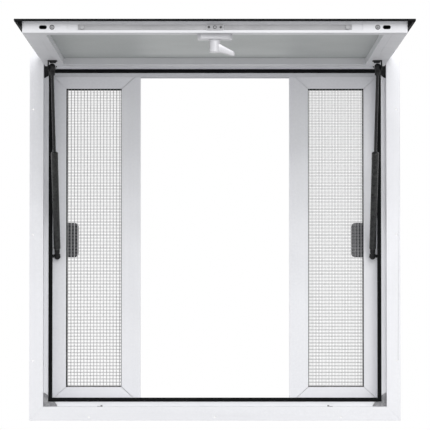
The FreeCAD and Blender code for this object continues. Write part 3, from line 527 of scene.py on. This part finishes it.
WIRE = finish_material(
    "drawn_wire", (0.70, 0.70, 0.71), (0.60, 0.60, 0.61), 0.3, 0.6, "none",
    lines=0.3, clouds=0.4, scuffs=0.3, rubbed=0.0, size=40)
NYLON = finish_material(
    "natural_nylon", (0.78, 0.76, 0.70), (0.70, 0.68, 0.62), 0.5, 0.0, "none",
    lines=0.2, clouds=0.5, scuffs=0.5, size=40, bump=0.05)
PULL = finish_material(
    "pull_dark_plastic", (0.060, 0.062, 0.068), (0.08, 0.08, 0.085), 0.45, 0.0, "none",
    lines=0.7, clouds=0.5, scuffs=0.5, rubbed=0.5, size=40, bump=0.15, lift=0.08)
FOAM = finish_material(
    "foam_board", (0.85, 0.84, 0.80), (0.78, 0.77, 0.72), 0.9, 0.0, "none",
    lines=0.5, clouds=0.6, scuffs=0.3, size=60, bump=0.4)


# ---------------------------------------------------------------- camera, light and floor

def camera():
    """A long lens in front, low down, looking slightly up."""
    distance, height, pitch = 7.47, -0.204, 1.965
    eye = bpy.data.objects.new("camera", bpy.data.cameras.new("camera"))
    bpy.context.scene.collection.objects.link(eye)
    eye.location = (0.0003, -distance, height)
    eye.rotation_euler = (math.radians(90 + pitch), 0, 0)
    eye.data.sensor_width = 36
    eye.data.lens = 236.7
    eye.data.clip_end = 100
    bpy.context.scene.camera = eye


def studio():
    """A white room that is a little darker below, and one soft lamp high in front."""
    world = bpy.data.worlds.new("studio")
    bpy.context.scene.world = world
    world.use_nodes = True
    tree = world.node_tree
    tree.nodes.clear()
    out = tree.nodes.new("ShaderNodeOutputWorld")
    light, seen = (tree.nodes.new("ShaderNodeBackground") for _ in range(2))
    seen.inputs["Color"].default_value = (1, 1, 1, 1)
    direction = tree.nodes.new("ShaderNodeTexCoord").outputs["Generated"]
    split = tree.nodes.new("ShaderNodeSeparateXYZ")
    tree.links.new(direction, split.inputs[0])
    height = ramp(tree, split.outputs["Z"], -0.7, 0.15)
    colour = blend_colour(tree, height, (0.55, 0.55, 0.56), (1.05, 1.05, 1.06))
    tree.links.new(colour, light.inputs["Color"])
    light.inputs["Strength"].default_value = 1.0
    mix = tree.nodes.new("ShaderNodeMixShader")
    tree.links.new(tree.nodes.new("ShaderNodeLightPath").outputs["Is Camera Ray"], mix.inputs["Fac"])
    tree.links.new(light.outputs[0], mix.inputs[1])
    tree.links.new(seen.outputs[0], mix.inputs[2])
    tree.links.new(mix.outputs[0], out.inputs["Surface"])
    bpy.context.scene.view_settings.view_transform = "Standard"
    lamp = bpy.data.lights.new("soft_key", "AREA")
    lamp.energy = 105
    lamp.size = 3
    key = bpy.data.objects.new("soft_key", lamp)
    bpy.context.scene.collection.objects.link(key)
    key.location = (0.9, -5, 2.7)
    key.rotation_euler = (Vector((0, 0, 0)) - key.location).to_track_quat("-Z", "Y").to_euler()


def floor():
    """A plain pale disc below the window."""
    bpy.ops.object.select_all(action="DESELECT")
    bpy.ops.mesh.primitive_circle_add(
        vertices=96, radius=1.7, fill_type="NGON", location=(0, -0.35, -0.6)
    )
    disc = settle(bpy.context.active_object, "floor")
    disc.data.materials.append(finish_material(
        "floor_paint", (0.52, 0.52, 0.52), (0.50, 0.50, 0.50), 0.7,
        lines=0.02, clouds=0.4, scuffs=0.0, rubbed=0.0))


# ---------------------------------------------------------------- frame and tracks

def frame_and_tracks():
    """Head, sill, jambs, tracks and keys: CAD shapes with broken edges."""
    looks = {
        "frame_head": (FRAME_X, 0.5),
        "frame_sill": (FRAME_X, 0.5),
        "frame_jamb_left": (FRAME_Z, 0.5),
        "frame_jamb_right": (FRAME_Z, 0.5),
        "head_track": (TRACK, 0.3),
        "sill_track": (TRACK, 0.3),
        "jamb_tracks": (SASH_Z, 0.3),
        "frame_corner_keys": (KEY_ZINC, 0.3),
        "lock_keepers": (CAST_ZINC, 0.3),
        "strut_frame_studs": (BRACKET_BLACK, 0.5),
        "hinge_frame_leaf": (STEEL, 0.3),
        "hinge_pin": (STEEL, 0.4),
    }
    for node, (material, edge) in looks.items():
        hand_over(refined(node, edge, turned=node in TURNED), node, material)


def seal_corner_blocks():
    """Corner blocks outside the seal, their legs cut off at a slant: zinc below; above, the same blocks
    made black as painted shade under the door.
    """
    node = "seal_corner_blocks"
    activate(bare_copy(node))
    bpy.ops.object.mode_set(mode="EDIT")
    bpy.ops.mesh.separate(type="LOOSE")
    bpy.ops.object.mode_set(mode="OBJECT")
    blocks = list(bpy.context.selected_objects)
    top, foot = [], []
    for block in blocks:
        centre = sum((Vector(c) for c in block.bound_box), Vector()) / 8 / MM
        side, up = math.copysign(1, centre.x), math.copysign(1, centre.z)
        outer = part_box(node)[1].x / MM
        leg = 36
        cut_away(block, (side * (outer - leg), 0, up * (outer - 2)), (-side, 0, -up * 0.7))
        cut_away(block, (side * (outer - 2), 0, up * (outer - leg)), (-side * 0.7, 0, -up))
        rounded(block, 0.9, 2, smooth=False)
        (top if up > 0 else foot).append(block)
    # The top blocks get black instead of zinc: painted shade from the door above them.
    hand_over(join(top, "seal_corner_blocks_head"), node, BRACKET_BLACK)
    hand_over(join(foot, "seal_corner_blocks_sill"), node, CAST_ZINC)


def weather_seal():
    """A hollow-bulb seal with a flat foot, mitred at the corners of the shelf."""
    low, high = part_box("weather_seal")
    outer, spread = high.x / MM, 1.12
    foot, top = high.y / MM, low.y / MM
    profile = [(0.0, foot), (0.0, foot - 1.6), (0.9, foot - 2.2)]
    profile += [
        (4.75 - 3.9 * math.cos(math.radians(a)), top + 2.4 - 2.4 * math.sin(math.radians(a)))
        for a in range(-15, 196, 15)
    ]
    profile += [(8.6, foot - 2.2), (9.5, foot - 1.6), (9.5, foot), (0.0, foot)]
    steps = [(-y, outer - inset * spread) for inset, y in profile]
    seal = drawn("weather_seal_bulb", 4, steps, capped=False, squares=True)
    laid(seal, (0, 0, 0), (0, -1, 0))
    hand_over(seal, "weather_seal", RUBBER)


# ---------------------------------------------------------------- door

def door_panels():
    """Skin, core, sheet, rails, stiles, beads, keys, hinge leaf, strut studs, lock faceplate and bars.
    """
    looks = {
        "door_skin": (DOOR_SKIN, 0.3),
        "door_core": (FOAM, 0.2),
        "door_inner_panel": (DOOR_SHEET, 0.2),
        "door_rail_top": (RAIL_X, 0.5),
        "door_rail_bottom": (RAIL_X, 0.3),
        "door_stile_left": (RAIL_Y, 0.5),
        "door_stile_right": (RAIL_Y, 0.5),
        "door_beads": (RAIL_X, 0.5),
        "door_corner_keys": (KEY_ZINC, 0.4),
        "hinge_door_leaf": (STEEL, 0.3),
        "strut_door_studs": (BRACKET_BLACK, 0.5),
        "lock_faceplate": (PLATED, 0.4),
        "lock_bar_left": (PLATED, 0.25),
        "lock_bar_right": (PLATED, 0.25),
    }
    for node, (material, edge) in looks.items():
        hand_over(refined(node, edge, turned=node in TURNED), node, material)


def trimmed_edge():
    """The rubber edge channel, pressed in at the sides."""
    trim = refined("door_edge_trim", 0.4)
    trim.data.transform(Matrix.Diagonal((0.9955, 1, 1, 1)))
    hand_over(trim, "door_edge_trim", RUBBER)


def side_gaskets():
    """A rubber wedge with a thin lip under the skin's overhang, down each side of the door."""
    low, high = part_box("door_stile_right")
    wall, opening, skin = 447.6, 456.4, high.z / MM
    for side in (-1, 1):
        spans = sorted((side * wall, side * opening))
        wedge = started("side_gasket", (spans[0], -937, skin - 24), (spans[1], -60, skin - 0.1))
        cut_away(wedge, (side * opening, 0, skin - 9), (side * 9, 0, -16))
        spans = sorted((side * opening, side * 463.5))
        lip = started("side_gasket_lip", (spans[0], -944.5, skin - 4.5), (spans[1], -60, skin - 0.1))
        gasket = join([rounded(piece, 0.5, smooth=False) for piece in (wedge, lip)], "side_gasket")
        gasket.data.materials.append(RUBBER)
        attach(gasket, "door")


def drain_plugs():
    """Oval rubber plugs in the bottom rail's drain slots."""
    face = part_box("door_screws")[0].y / MM
    for side in (-1, 1):
        place = side * PLUG_PLACE
        plug = started(
            "drain_plug",
            (place - 9, RAIL_FACE - 0.9, RAIL_MIDDLE - 4.5),
            (place + 9, RAIL_FACE + 1.7, RAIL_MIDDLE + 4.5),
        )
        chosen_edges(plug, lambda a, b: abs(a.y - b.y) > 1, 4.4, 6)
        rounded(plug, 0.5)
        sunk(plug, lambda f: f.normal.y < -0.9 and f.area > 20e-6, 1.4, 1.0)
        plug.data.materials.append(RUBBER)
        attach(plug, "door")


def screw(name, x, y, z, radius, height):
    """A pan-head screw with a cross recess, facing outwards."""
    steps = [(0, radius), (height * 0.4, radius), (height * 0.8, radius * 0.82), (height, radius * 0.5)]
    head = laid(drawn(name, 24, steps), (x * MM, y * MM, z * MM), (0, -1, 0))
    slots = []
    for turn in (0, 90):
        reach = radius * 0.55
        bar = started("recess", (-reach, -height * 1.2, -0.45), (reach, height * 0.5, 0.45))
        bar.data.transform(Matrix.Rotation(math.radians(turn + 20), 4, "Y"))
        bar.data.transform(Matrix.Translation(Vector((x, y - height, z)) * MM))
        slots.append(bar)
    for bar in slots:
        apply_modifier(head, "BOOLEAN", operation="DIFFERENCE", object=bar, solver="EXACT")
        bpy.data.objects.remove(bar)
    return head


def door_screws():
    """Plated screws with dark washers in the rail, black ones in the faceplate, and its rivet."""
    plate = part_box("lock_faceplate")[0].y / MM
    plated, black = [], []
    for side in (-1, 1):
        place = side * SCREW_PLACE
        plated.append(screw("rail_screw", place, RAIL_FACE, RAIL_MIDDLE, 4.6, 1.2))
        washer = drawn("rail_washer", 28, [(0, 5.8), (0.5, 5.8), (0.7, 5.4)])
        black.append(laid(washer, Vector((place, RAIL_FACE, RAIL_MIDDLE)) * MM, (0, -1, 0)))
        place = side * PLATE_SCREW_PLACE
        black.append(screw("plate_screw", place, plate, RAIL_MIDDLE, 2.9, 1.1))
    centre = Vector((0, plate, RAIL_MIDDLE)) * MM
    ring = drawn("rivet_ring", 28, [(0, 4.2), (0.4, 4.2), (0.5, 3.9)])
    black.append(laid(ring, centre, (0, -1, 0)))
    rivet = drawn("plate_rivet", 24, [(0, 2.8), (0.5, 2.8), (0.9, 2.0), (0.6, 1.4)])
    plated.append(laid(rivet, centre, (0, -1, 0)))
    hand_over(join(plated, "door_screws_plated"), "door_screws", PLATED)
    hand_over(join(black, "door_screws_black"), "door_screws", SCREW_BLACK)


# ---------------------------------------------------------------- handle

def handle_base():
    """A cast base with sloped ends and a sunk field on its front."""
    low, high = (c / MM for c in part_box("lock_handle_base"))
    base = started("handle_base", low, high)
    chosen_edges(base, lambda a, b: abs(a.z - b.z) > 5 and a.y < low.y + 1, 7)
    chosen_edges(base, lambda a, b: abs(a.x - b.x) > 30 and a.z < low.z + 1 and b.z < low.z + 1, 2.2, 3)
    sunk(base, lambda f: f.normal.y < -0.95 and f.area > 100e-6, 1.6, 0.5)
    rounded(base, 0.8, 3)
    hand_over(base, "lock_handle_base", HANDLE_CAST)


def lever_and_boss():
    """A straight-sided boss with a lever that droops and narrows to a round nose."""
    low, high = (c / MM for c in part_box("lock_handle"))
    axis_y, reach, top, foot = (low.y + high.y) / 2, high.x, high.z, high.z - 29.3
    steps = [(0, 11.5), (1.6, 13.2), (22, 12.6), (26.5, 12.4), (27.2, 13.2), (29.3, 13.4)]
    boss = drawn("handle_boss", 28, steps)
    boss.data.transform(Matrix.Diagonal((0.98, 0.94, 1, 1)))
    laid(boss, (0, axis_y * MM, foot * MM), (0, 0, 1))
    lever = started("handle_lever", (4, axis_y - 8.4, foot + 0.4), (12, axis_y + 8.4, top - 9.5))
    strides = (
        (10, 4.2, 0.95, 0.85), (12, 4.8, 0.9, 0.82), (9, 3.6, 0.86, 0.86), (3, 0.9, 0.6, 0.6)
    )
    for stride, drop, deep, tall in strides:
        end = max(v.co.x for v in lever.data.vertices)
        activate(lever)
        select_faces(lever, lambda f: f.center.x > end - 0.1 * MM)
        bpy.ops.mesh.extrude_region_move(TRANSFORM_OT_translate={"value": (stride * MM, 0, -drop * MM)})
        bpy.ops.object.mode_set(mode="OBJECT")
        picked = [v.co for v in lever.data.vertices if v.select]
        centre = sum(picked, Vector()) / len(picked)
        bpy.ops.object.mode_set(mode="EDIT")
        bpy.ops.transform.resize(value=(1, deep, tall), center_override=centre)
        bpy.ops.object.mode_set(mode="OBJECT")
    rounded(lever, 1.8, 3)
    for v in lever.data.vertices:
        v.co.z = max(v.co.z, (low.z + 0.1) * MM)
        v.co.x = min(v.co.x, (reach - 0.1) * MM)
    handle = join([boss, lever], "handle_boss_and_lever")
    hand_over(handle, "lock_handle", HANDLE_CAST)


def lock_handle():
    handle_base()
    lever_and_boss()
    hand_over(refined("lock_spindle", 0.3), "lock_spindle", PLATED)


# ---------------------------------------------------------------- gas struts

def spring_clip(place, along, side):
    """The bent wire that holds a socket on its ball stud."""
    curve = bpy.data.curves.new("spring_clip", "CURVE")
    curve.dimensions = "3D"
    curve.bevel_depth = 0.55 * MM
    curve.bevel_resolution = 2
    curve.use_fill_caps = True
    turns = ((-6, 9.3), (-1, 9.6), (3, 8.4), (5, 5.5), (8, 6.6), (11, 4.2))
    spline = curve.splines.new("NURBS")
    spline.points.add(len(turns) - 1)
    out = Vector((-side, 0, 0))
    for point, (run, reach) in zip(spline.points, turns):
        point.co = (*(place + along * run * MM + out * reach * MM + Vector((0, -3 * MM, 0))), 1)
    spline.order_u = 3
    spline.use_endpoint_u = True
    clip = bpy.data.objects.new("spring_clip", curve)
    bpy.context.scene.collection.objects.link(clip)
    activate(clip)
    bpy.ops.object.convert(target="MESH")
    return clip


def strut_socket(side, end, pivot, along):
    """A ball socket: round eye, waist and round shank, drawn out along the strut."""
    steps = [
        (-8.5, 3), (-7.6, 5.5), (-4.8, 7.8), (0, 8.6), (5.2, 8.2),
        (8.4, 6.4), (10, 6.2), (11, 7.2), (SHANK_LENGTH - 0.2, 7.2),
    ]
    socket = laid(drawn(f"strut_{end}_socket", 24, steps), pivot, along)
    node = f"strut_{end}_socket_{side}"
    hand_over(socket, node, BLACK_NYLON)
    clip = spring_clip(pivot, along, -1 if side == "left" else 1)
    clip.name = f"strut_{end}_clip"
    hand_over(clip, node, STEEL)


def bracket_block(side):
    """The tapered block under a door bracket's foot, above the strut's head socket."""
    way = -1 if side == "left" else 1
    inner, outer = sorted((way * 407.2, way * 428.0))
    block = started(f"strut_bracket_block_{side}", (inner, -210, 437.2), (outer, -194, 447.6))
    activate(block)
    select_faces(block, lambda f: f.normal.z < -0.9)
    tip = Vector(((inner + outer) / 2, -202, 437.2)) * MM
    bpy.ops.transform.resize(value=(0.72, 0.9, 1), center_override=tip)
    bpy.ops.object.mode_set(mode="OBJECT")
    rounded(block, 0.8, 2)
    block.data.materials.append(BRACKET_BLACK)
    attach(block, "door")


def gas_struts():
    """Rod, rolled tube with a collar, and a ball socket with its clip at both ends."""
    for side in ("left", "right"):
        head = Vector(JOINTS[f"strut_{side}_pivot"]["pos_m"])
        up = Vector(JOINTS[f"strut_{side}_slide"]["axis"]).normalized()
        low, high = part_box(f"strut_tube_{side}")
        foot = Vector(((low.x + high.x) / 2, STRUT_FOOT[0] * MM, STRUT_FOOT[1] * MM))
        length = (head - foot).length / MM
        tube_end = SHANK_LENGTH + TUBE_LENGTH
        steps = [
            (SHANK_LENGTH, 7.2), (SHANK_LENGTH + 1.5, 9.1), (tube_end - 24, 9.1),
            (tube_end - 23.4, 8.4), (tube_end - 22.4, 8.4), (tube_end - 21.8, 9.4),
            (tube_end - 2.6, 9.4), (tube_end - 1, 8.2), (tube_end, 6.0), (tube_end - 0.5, 4.3),
        ]
        tube = laid(drawn("strut_tube", 32, steps), foot, up)
        hand_over(tube, f"strut_tube_{side}", BLACK_PAINT)
        rod_steps = [(tube_end - 30, 4), (length - SHANK_LENGTH - 0.5, 4), (length - SHANK_LENGTH, 3.6)]
        rod = laid(drawn("strut_rod", 24, rod_steps), foot, up)
        hand_over(rod, f"strut_rod_{side}", ROD)
        strut_socket(side, "foot", foot, up)
        strut_socket(side, "head", head, -up)
        bracket_block(side)


# ---------------------------------------------------------------- sashes

def sash_frame(name):
    """Two stiles and two rails, mitred and bevelled so that the joints show as fine lines."""
    node = f"{name}_frame"
    low, high = (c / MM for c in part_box(node))
    stile, rail, gap = SASH_STILE, SASH_RAIL, 0.4
    corners = {}
    for i, x in enumerate((low.x, high.x)):
        for k, z in enumerate((low.z, high.z)):
            lean = Vector((stile if i == 0 else -stile, 0, rail if k == 0 else -rail))
            towards_rail = Vector((abs(lean.z), 0, -abs(lean.x)))
            towards_rail.x *= 1 if i == 0 else -1
            towards_rail.z *= 1 if k == 0 else -1
            corners[i, k] = (Vector((x, 0, z)), towards_rail.normalized())
    stiles, rails = [], []
    for i in (0, 1):
        member = bare_copy(node)
        for k in (0, 1):
            spot, way = corners[i, k]
            cut_away(member, spot - way * gap, way)
        cut_away(member, ((low.x + high.x) / 2, 0, 0), (1 if i == 0 else -1, 0, 0))
        stiles.append(rounded(member, 0.5, smooth=False))
    for k in (0, 1):
        member = bare_copy(node)
        for i in (0, 1):
            spot, way = corners[i, k]
            cut_away(member, spot + way * gap, -way)
        cut_away(member, (0, 0, 0), (0, 0, 1 if k == 0 else -1))
        rails.append(rounded(member, 0.5, smooth=False))
    hand_over(join(stiles, f"{name}_stiles"), node, SASH_Z)
    hand_over(join(rails, f"{name}_rails"), node, SASH_X)
    hand_over(refined(f"{name}_glides", 0.8, 3), f"{name}_glides", NYLON)


def glazing_strip(name):
    """A black rubber strip that lines the screen's opening and covers the spline; its black is partly
    the spline's own and partly painted shade for the shaded reveal.
    """
    node = f"{name}_spline"
    frame_low, frame_high = (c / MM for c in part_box(f"{name}_frame"))
    low = (frame_low.x + SASH_STILE, frame_low.y + 1.2, frame_low.z + SASH_RAIL)
    high = (frame_high.x - SASH_STILE, frame_high.y - 1.2, frame_high.z - SASH_RAIL)
    strip = started(f"{name}_strip", low, high)
    activate(strip)
    select_faces(strip, lambda f: abs(f.normal.y) > 0.9)
    bpy.ops.mesh.inset(thickness=1.3 * MM, depth=0)
    bpy.ops.mesh.bridge_edge_loops()
    bpy.ops.object.mode_set(mode="OBJECT")
    rounded(strip, 0.25, smooth=False)
    hand_over(strip, node, RUBBER)


def crimped_wire(name, start, step, crimp, crossings, radius):
    """One wire that bends to and fro over the wires it crosses, from a point, step by step."""
    curve = bpy.data.curves.new(name, "CURVE")
    curve.dimensions = "3D"
    curve.bevel_depth = radius
    curve.bevel_resolution = 1
    curve.use_fill_caps = True
    spline = curve.splines.new("POLY")
    count = 2 * crossings + 1
    spline.points.add(count - 1)
    for i, point in enumerate(spline.points):
        wave = math.sin(math.pi * i / 2)
        spot = start + step * (i / 2) + crimp * wave
        point.co = (*spot, 1)
    wire = bpy.data.objects.new(name, curve)
    bpy.context.scene.collection.objects.link(wire)
    activate(wire)
    bpy.ops.object.convert(target="MESH")
    return wire


def wire_cloth(name):
    """Square-mesh cloth woven from crimped wires, clamped by the spline."""
    node = f"{name}_mesh"
    low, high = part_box(node)
    size = high - low
    middle = (low.y + high.y) / 2
    pitch, radius = 8.7 * MM, 0.5 * MM
    shift = 0.25 if "rear" in name else 0.5
    across, tall = round(size.x / pitch), round(size.z / pitch)
    step_x = Vector((size.x / across, 0, 0))
    step_z = Vector((0, 0, size.z / tall))
    corner = Vector((low.x, middle, low.z))
    wires = []
    for way, (run, runs, along, count) in enumerate(
        ((step_z, tall, step_x, across), (step_x, across, step_z, tall))
    ):
        for phase in (0, 1):
            sign = (1 if phase == 0 else -1) * (1 if way == 0 else -1)
            start = corner + along * (phase + shift)
            crimp = Vector((0, sign * radius, 0))
            wire = crimped_wire(f"{name}_wire", start, run, crimp, runs, radius)
            apply_modifier(
                wire,
                "ARRAY",
                count=(count - phase + 1) // 2,
                use_relative_offset=False,
                use_constant_offset=True,
                constant_offset_displace=along * 2,
            )
            wires.append(wire)
        cloth = join(wires, f"{name}_{'weft' if way else 'warp'}")
        wires = []
        activate(cloth)
        bpy.ops.object.shade_smooth()
        # Across wires get the darker wire: painted shade.
        hand_over(cloth, node, WEFT_WIRE_PAINTED_SHADE if way else WIRE)


def sash_pull(name):
    """A D-shaped plastic pull with a sunk grip."""
    node = f"{name}_pull"
    low, high = (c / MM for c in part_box(node))
    inner = high.x if "left" in name else low.x
    pull = started(f"{name}_grip", low, high)
    chosen_edges(pull, lambda a, b: abs(a.y - b.y) > 3 and abs(a.x - inner) < 1, 10.5, 5)
    sunk(pull, lambda f: abs(f.normal.y) > 0.9, 5, 2.0)
    rounded(pull, 0.9, 3, angle=35)
    hand_over(pull, node, PULL)


# ---------------------------------------------------------------- making

camera()
studio()
floor()
frame_and_tracks()
seal_corner_blocks()
weather_seal()
door_panels()
trimmed_edge()
side_gaskets()
drain_plugs()
door_screws()
lock_handle()
gas_struts()
for sash in SASHES:
    sash_frame(sash)
    wire_cloth(sash)
    glazing_strip(sash)
    if "rear" in sash:
        sash_pull(sash)
